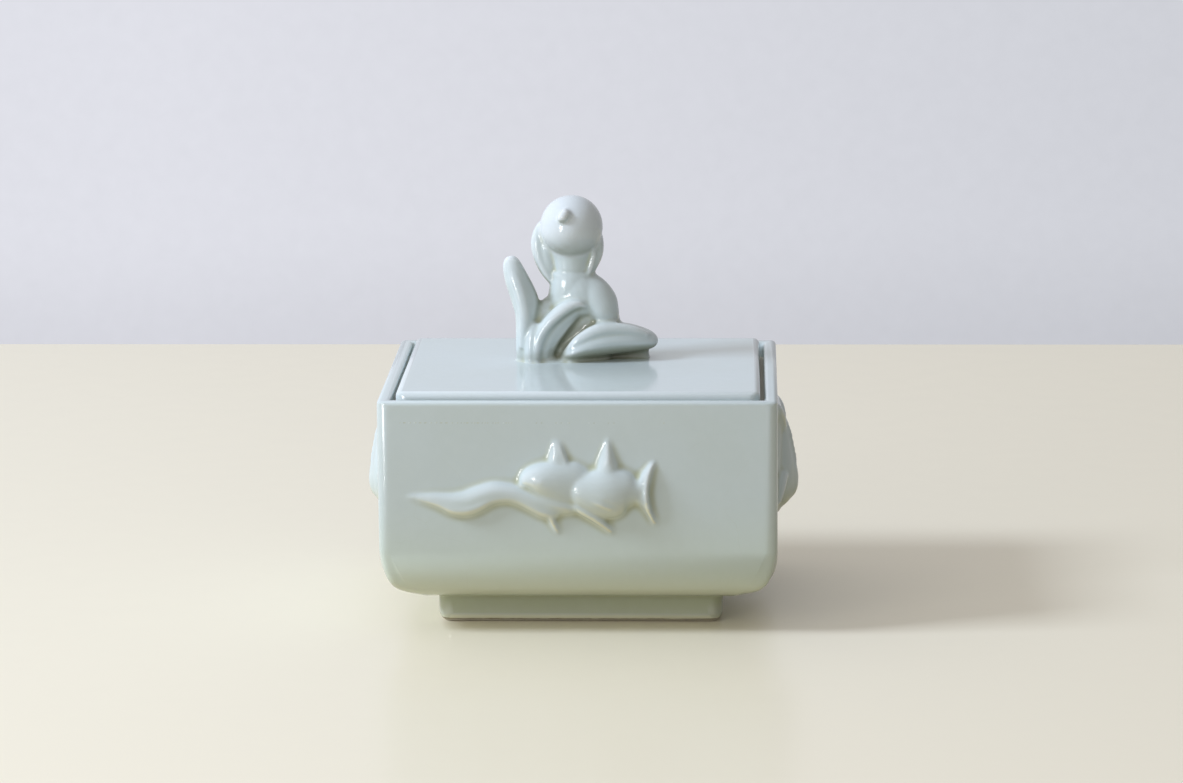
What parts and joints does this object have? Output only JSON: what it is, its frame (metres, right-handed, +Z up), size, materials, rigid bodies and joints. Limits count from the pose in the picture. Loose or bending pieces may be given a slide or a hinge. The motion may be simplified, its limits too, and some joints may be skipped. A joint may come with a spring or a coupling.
{
  "type": "seal paste box",
  "caption": "Rectangular celadon porcelain box for seal paste, with a foot, fish reliefs, side lugs and an inset lift-off lid with a sculpted leaf-and-bud knob.",
  "frame": {"origin": "on the table plane under the foot, at the middle of the overall bounding box", "axes": "+X to the viewer's right along the longest side, +Y to the back, +Z up out of the box"},
  "size_m": [0.1226, 0.0974, 0.1151],
  "materials": {
    "box_glaze": "glossy",
    "relief_glaze": "glossy",
    "lid_glaze": "glossy",
    "knob_glaze": "glossy",
    "bare_porcelain": "matt"
  },
  "bodies": {
    "box": {"box_shell": "box_glaze", "foot_ring": "box_glaze", "lid_seat": "bare_porcelain", "front_stream": "relief_glaze", "front_far_fish": "relief_glaze", "front_near_fish": "relief_glaze", "back_stream": "relief_glaze", "back_far_fish": "relief_glaze", "back_near_fish": "relief_glaze", "left_lug": "relief_glaze", "right_lug": "relief_glaze"},
    "lid": {"lid_plate": "lid_glaze", "knob_pad": "knob_glaze", "stem": "knob_glaze", "calyx": "knob_glaze", "bud": "knob_glaze", "bud_tip": "knob_glaze", "left_sepal": "knob_glaze", "right_sepal": "knob_glaze", "upright_leaf": "knob_glaze", "folded_leaf": "knob_glaze", "low_leaf": "knob_glaze"}
  },
  "joints": [
    {"name": "lid_lift", "type": "slide", "parent": "box", "child": "lid", "axis": [0, 0, 1], "range_m": [0, 0.07]}
  ]
}
